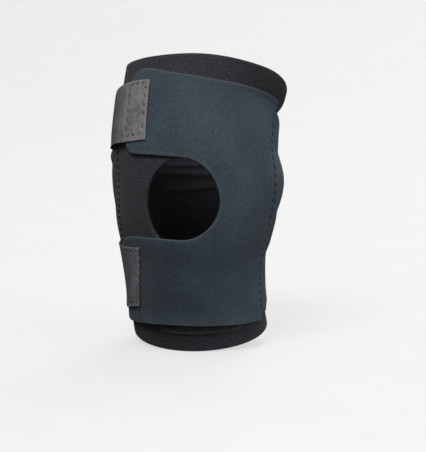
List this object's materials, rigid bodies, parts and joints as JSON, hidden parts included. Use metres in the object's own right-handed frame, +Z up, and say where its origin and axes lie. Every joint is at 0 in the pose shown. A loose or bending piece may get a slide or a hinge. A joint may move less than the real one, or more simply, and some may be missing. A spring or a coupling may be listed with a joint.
{
  "type": "hinged knee brace",
  "caption": "Neoprene sleeve with a kneecap hole, a wrap panel closed by hook tabs, and side hinges in pockets, kept in its worn, slightly bent form.",
  "frame": {"origin": "on the axis of the bent sleeve, level with the two hinges, where the knee sits", "axes": "+Z up towards the thigh end, -Y out of the front at the kneecap hole, +X towards the lateral seam"},
  "size_m": [0.1457, 0.1564, 0.2459],
  "materials": {
    "black_neoprene": "matt brushed knit face on neoprene foam",
    "slate_neoprene": "matt fine jersey face on neoprene foam",
    "hook_tape": "satin woven tape",
    "loop_pile": "fuzzy knitted loops",
    "hinge_metal": "plain satin"
  },
  "bodies": {
    "root": {"sleeve": "black_neoprene", "front_panel": "slate_neoprene", "upper_tab": "hook_tape", "lower_tab": "hook_tape", "lateral_pocket": "slate_neoprene", "medial_pocket": "black_neoprene", "lateral_hinge": "hinge_metal", "medial_hinge": "hinge_metal", "lower_loop_patch": "loop_pile"}
  },
  "joints": []
}
